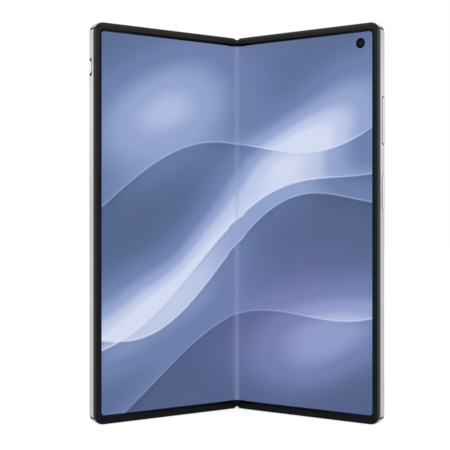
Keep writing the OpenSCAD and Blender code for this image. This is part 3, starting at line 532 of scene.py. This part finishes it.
# ---------------------------------------------------------------- the folding inner screen
def bend_line():
    """Front line and inward normals of the right half's bend, from the panel to the middle.

    They are seen from the fold. The line turns from the half's plane to the spine's by a smooth
    step, as in the CAD source.
    """
    start = ((BEND_HALF - AXIS_OFF) * COS, -(BEND_HALF - AXIS_OFF) * SIN)
    span = (-AXIS_OFF - start[0], -start[1])
    length = span[0] ** 2 + span[1] ** 2
    base = start[0] * span[0] + start[1] * span[1]
    points = []
    for i in range(BEND_STEPS + 1):
        share = i / BEND_STEPS
        turn = REST * (1 - share * share * (3 - 2 * share))
        ray = (math.cos(turn), -math.sin(turn))
        reach = (share * length + base) / (ray[0] * span[0] + ray[1] * span[1])
        points.append((AXIS_OFF + ray[0] * reach, ray[1] * reach))
    normals = [(SIN, COS)]
    for before, after in zip(points, points[2:]):
        dx, dy = before[0] - after[0], before[1] - after[1]
        n = math.hypot(dx, dy)
        normals.append((-dy / n, dx / n))
    normals.append((0.0, 1.0))
    return points, normals


def panel_outline():
    """Outline of the right flat panel as (x, z), from its inner edge's low end to the high end."""
    low, high = SCREEN_INSET, BODY_H - SCREEN_INSET
    r, far = CORNER_R - SCREEN_INSET, HALF_W - SCREEN_INSET
    ring = [(BEND_HALF, low)]
    for middle, first in ((low + r, -90), (high - r, 0)):
        for i in range(CORNER_STEPS + 1):
            a = math.radians(first + 90 * i / CORNER_STEPS)
            ring.append((far - r + r * math.cos(a), middle + r * math.sin(a)))
    return ring + [(BEND_HALF, high)]


def camera_hole():
    """Outline of the selfie camera's hole as (x, z)."""
    turns = (math.tau * i / HOLE_STEPS for i in range(HOLE_STEPS))
    return [(SELFIE_X + SELFIE_R * math.cos(a), SELFIE_Z + SELFIE_R * math.sin(a)) for a in turns]


def half_points(spots):
    """Front and back points of the right half, and the place (x, z) of each on the flat screen.

    The panel's spots come first, then columns of a low and a high point over the bend.
    """
    front = [at_rest(x, 0, z) for x, z in spots]
    back = [at_rest(x, SCREEN_T, z) for x, z in spots]
    marks = list(spots)
    line, normals = bend_line()
    steps = [math.dist(a, b) for a, b in zip(line, line[1:])]
    total, run = sum(steps), 0.0
    for i in range(1, BEND_STEPS + 1):
        run += steps[i - 1]
        thick = SCREEN_T + (BEND_T - SCREEN_T) * min(1, i / THIN_STEPS)
        (x, y), (nx, ny) = line[i], normals[i]
        for z in (SCREEN_INSET, BODY_H - SCREEN_INSET):
            front.append(Vector((x, FOLD_Y + y, z)) * MM)
            back.append(Vector((x + thick * nx, FOLD_Y + y + thick * ny, z)) * MM)
            marks.append((BEND_HALF * (1 - run / total), z))
    return front, back, marks


def half_faces(ring, hole, shift):
    """Faces of the right half as (points, slot); shift leads from a front point to the back one."""
    spots, faces = ring + hole, []

    def turned(tri):
        p, q, s = (spots[i] for i in tri)
        return (q[0] - p[0]) * (s[1] - p[1]) - (q[1] - p[1]) * (s[0] - p[0])

    loops = [[Vector((x, z, 0)) for x, z in loop] for loop in (ring, hole) if loop]
    for tri in tessellate_polygon(loops):
        tri = tuple(tri) if turned(tri) > 0 else tuple(reversed(tri))
        faces.append((tri, FRONT))
        faces.append((tuple(i + shift for i in reversed(tri)), EDGE))
    low, high = 0, len(ring) - 1
    for i in range(BEND_STEPS):
        next_low = len(spots) + 2 * i
        next_high = next_low + 1
        faces += [
            ((next_low, low, high, next_high), FRONT),
            ((next_high + shift, high + shift, low + shift, next_low + shift), EDGE),
            ((next_low, next_low + shift, low + shift, low), EDGE),
            ((high, high + shift, next_high + shift, next_high), EDGE),
        ]
        low, high = next_low, next_high
    faces.append(((low, high, high + shift, low + shift), EDGE))
    for i in range(len(ring) - 1):
        faces.append(((i, i + shift, i + 1 + shift, i + 1), EDGE))
    for i in range(len(hole)):
        a, b = len(ring) + i, len(ring) + (i + 1) % len(hole)
        faces.append(((b, b + shift, a + shift, a), EDGE))
    return faces


def sharpen_borders(mesh):
    """Mark the edges where the front meets the rest as sharp."""
    borders = {}
    for polygon in mesh.polygons:
        for key in polygon.edge_keys:
            borders.setdefault(key, set()).add(polygon.material_index)
    for edge in mesh.edges:
        edge.use_edge_sharp = len(borders[tuple(sorted(edge.vertices))]) > 1


def display_piece(name, side, material, edge_material):
    """One half of the folding screen: flat panel, and the bending stretch as far as the middle."""
    ring, hole = panel_outline(), camera_hole() if side > 0 else []
    front, back, marks = half_points(ring + hole)
    faces = half_faces(ring, hole, len(front))
    mesh = bpy.data.meshes.new(name)
    mesh.from_pydata([(side * p.x, p.y, p.z) for p in front + back], [],
                     [points[::side] for points, _ in faces])
    layer = mesh.uv_layers.new(name="screen")
    for polygon, (_, slot) in zip(mesh.polygons, faces):
        polygon.material_index = slot
        polygon.use_smooth = slot == FRONT
        for loop in polygon.loop_indices:
            x, z = marks[mesh.loops[loop].vertex_index % len(front)]
            layer.data[loop].uv = (0.5 + side * x / (2 * HALF_W), z / BODY_H)
    mesh.materials.append(material)
    mesh.materials.append(edge_material)
    mesh.update()
    sharpen_borders(mesh)
    piece = bpy.data.objects.new(name, mesh)
    bpy.context.scene.collection.objects.link(piece)
    return piece


screen_material = screen("screen_lit")
film = plastic("screen_edge", (0.012, 0.012, 0.014), 0.35, specular=0.3)
for side, half in ((-1, "left"), (1, "right")):
    piece = display_piece(half + "_folding_screen", side, screen_material, film)
    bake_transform(piece)
    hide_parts(half + "_display", "display_fold")

# ---------------------------------------------------------------- materials on the CAD's nodes
# Rings of the lenses, from the middle (0) to the radius (1)
# The selfie lens's grey middle is a painted glint.
SELFIE_RINGS_AND_GLINT = [
    (0.0, srgb(52, 52, 54)), (0.22, srgb(40, 40, 44)), (0.30, srgb(10, 10, 20)),
    (0.46, srgb(28, 28, 38)), (0.60, srgb(4, 4, 30)), (1.0, srgb(4, 6, 44)),
]
COVER_CAM_RINGS = [
    (0.0, srgb(6, 8, 14)), (0.30, srgb(24, 30, 52)), (0.40, srgb(6, 6, 10)),
    (0.70, srgb(16, 16, 20)), (0.80, srgb(4, 4, 6)), (1.0, srgb(8, 8, 10)),
]
MAIN_RINGS = [
    (0.0, srgb(16, 20, 38)), (0.18, srgb(40, 48, 92)), (0.30, srgb(10, 10, 18)),
    (0.46, srgb(26, 26, 32)), (0.52, srgb(8, 8, 10)), (0.90, srgb(14, 14, 16)),
    (0.96, srgb(110, 112, 116)),
]
MAIN_LENSES = [(ISLAND_X + x, ISLAND_Z + z) for x, z in LENS_SPOTS]

# Each material, and the nodes that wear it
finishes = [
    (frame_metal("silver_left", -1), ["left_frame"]),
    (frame_metal("silver_right", 1), ["right_frame"]),
    (metal("silver_spine", (0.56, 0.57, 0.585), 0.26, brushed=(1, 1, 0.03), grain=0.05,
           soft_edge=0.0003),
     ["spine_cover"]),
    (metal("key_metal", (0.74, 0.75, 0.77), 0.24, brushed=(1, 1, 0.05), soft_edge=0.0002),
     ["volume_rocker", "power_key", "sim_tray"]),
    (metal("slider_metal", (0.84, 0.845, 0.86), 0.32, brushed=(0.1, 1, 1), grain=0.1,
           soft_edge=0.0002),
     ["alert_slider"]),
    (metal("hinge_steel", (0.58, 0.59, 0.61), 0.30, brushed=(1, 1, 0.06), grain=0.08,
           soft_edge=0.0001),
     ["hinge_bases", "left_support_plate", "right_support_plate", "left_brackets", "right_brackets",
      "left_wing", "right_wing", "shield_cans", "vibration_motor", "usb_shell"]),
    (metal("screw_steel", (0.42, 0.43, 0.45), 0.32, grain=0.05, soft_edge=0.0001),
     ["base_screws", "inner_gear_pins", "friction_washers",
      "left_bracket_screws", "right_bracket_screws"]),
    (metal("gear_brass", (0.80, 0.62, 0.30), 0.26, grain=0.05, soft_edge=0.00005),
     ["inner_gear_left", "inner_gear_right", "outer_gear_left", "outer_gear_right"]),
    (metal("contact_gold", (0.85, 0.66, 0.32), 0.22), ["slider_contact", "key_switches"]),
    (rim_plastic("rim_left", -1), ["left_rim"]),
    (rim_plastic("rim_right", 1), ["right_rim"]),
    (plastic("antenna_band", (0.030, 0.031, 0.034), 0.40),
     ["left_antenna_bands", "right_antenna_bands"]),
    (plastic("black_plastic", (0.022, 0.022, 0.024), 0.38),
     ["spine_end_caps", "earpiece_speaker", "bottom_speaker", "usb_tongue", "camera_modules"]),
    (plastic("battery_wrap", (0.045, 0.046, 0.050), 0.45, scale=900, grain=0.2),
     ["left_battery", "right_battery"]),
    (plastic("board_mask", (0.020, 0.075, 0.050), 0.30, scale=700, grain=0.15),
     ["left_board", "main_board"]),
    (plastic("island_black", (0.022, 0.023, 0.026), 0.30, grain=0.05, specular=0.3,
             soft_edge=0.0003),
     ["camera_island"]),
    (glass_back("back_frosted"), ["back_glass"]),
    (cover_glass("cover_black"), ["cover_display"]),
    (lens("selfie_lens", 1, [(SELFIE_X, SELFIE_Z)], SELFIE_R, SELFIE_RINGS_AND_GLINT,
          specular=0.05, coat=0.0),
     ["selfie_camera"]),
    (lens("cover_lens", -1, [COVER_CAM], COVER_CAM_R, COVER_CAM_RINGS), ["cover_camera"]),
    (lens("main_lenses", 1, MAIN_LENSES, WINDOW_R, MAIN_RINGS), ["camera_windows"]),
    (flash("flash_diffuser"), ["flash_window"]),
]
for finish, wearers in finishes:
    for node in wearers:
        mesh = nodes[node].data
        mesh.materials.clear()
        mesh.materials.append(finish)

# ---------------------------------------------------------------- floor, background and lamps
FLOOR_HALF, FLOOR_DROP = 3, 0.00005  # half its side, and how far it lies below the feet, metres
FLOOR_COLOUR = (0.78, 0.78, 0.78, 1)
FLOOR_LIFT = 0.62  # light of its own, so that it looks white and keeps the shadow
WORLD_LIGHT, WORLD_SEEN = 0.68, 1.0  # strength that lights the object, and that is seen
WHITE = (1, 1, 1, 1)
LAMP_AIM = (0, 0, 0.08)  # the middle of the object

floor_mesh = bpy.data.meshes.new("floor")
floor_corners = [(-1, -1), (1, -1), (1, 1), (-1, 1)]
floor_mesh.from_pydata([(x * FLOOR_HALF, y * FLOOR_HALF, 0) for x, y in floor_corners],
                       [], [(0, 1, 2, 3)])
floor = bpy.data.objects.new("floor", floor_mesh)
floor.location = (0, 0, -FLOOR_DROP)
bpy.context.scene.collection.objects.link(floor)
t = material_tree("floor_white")
diffuse, lift = t.node("ShaderNodeBsdfDiffuse"), t.node("ShaderNodeEmission")
t.feed(diffuse.inputs["Color"], FLOOR_COLOUR)
t.feed(lift.inputs["Strength"], t.mul(t.seen(), FLOOR_LIFT))
both = t.node("ShaderNodeAddShader")
t.feed(both.inputs[0], diffuse.outputs[0])
t.feed(both.inputs[1], lift.outputs[0])
t.show(both.outputs[0])
floor_mesh.materials.append(t.owner)

world = bpy.data.worlds.new("studio")
bpy.context.scene.world = world
t = Tree(world, "ShaderNodeOutputWorld")
mixed = t.node("ShaderNodeMixShader")
t.feed(mixed.inputs[0], t.seen())
for socket, strength in ((1, WORLD_LIGHT), (2, WORLD_SEEN)):
    background = t.node("ShaderNodeBackground")
    t.feed(background.inputs["Color"], WHITE)
    t.feed(background.inputs["Strength"], strength)
    t.feed(mixed.inputs[socket], background.outputs[0])
t.show(mixed.outputs[0])


def lamp(name, place, power, size):
    """A rectangular lamp, its place and size in metres and its power in watts."""
    data = bpy.data.lights.new(name, "AREA")
    data.shape = "RECTANGLE"
    data.size, data.size_y = size
    data.energy = power
    made = bpy.data.objects.new(name, data)
    made.location = place
    made.rotation_euler = (Vector(LAMP_AIM) - Vector(place)).to_track_quat("-Z", "Y").to_euler()
    bpy.context.scene.collection.objects.link(made)


lamp("key_light", (-0.55, -0.75, 0.95), 2.2, (0.6, 0.4))
lamp("fill_light", (0.75, -0.5, 0.7), 1.3, (0.6, 0.5))
lamp("back_light", (0.1, 0.9, 0.8), 0.9, (0.7, 0.4))
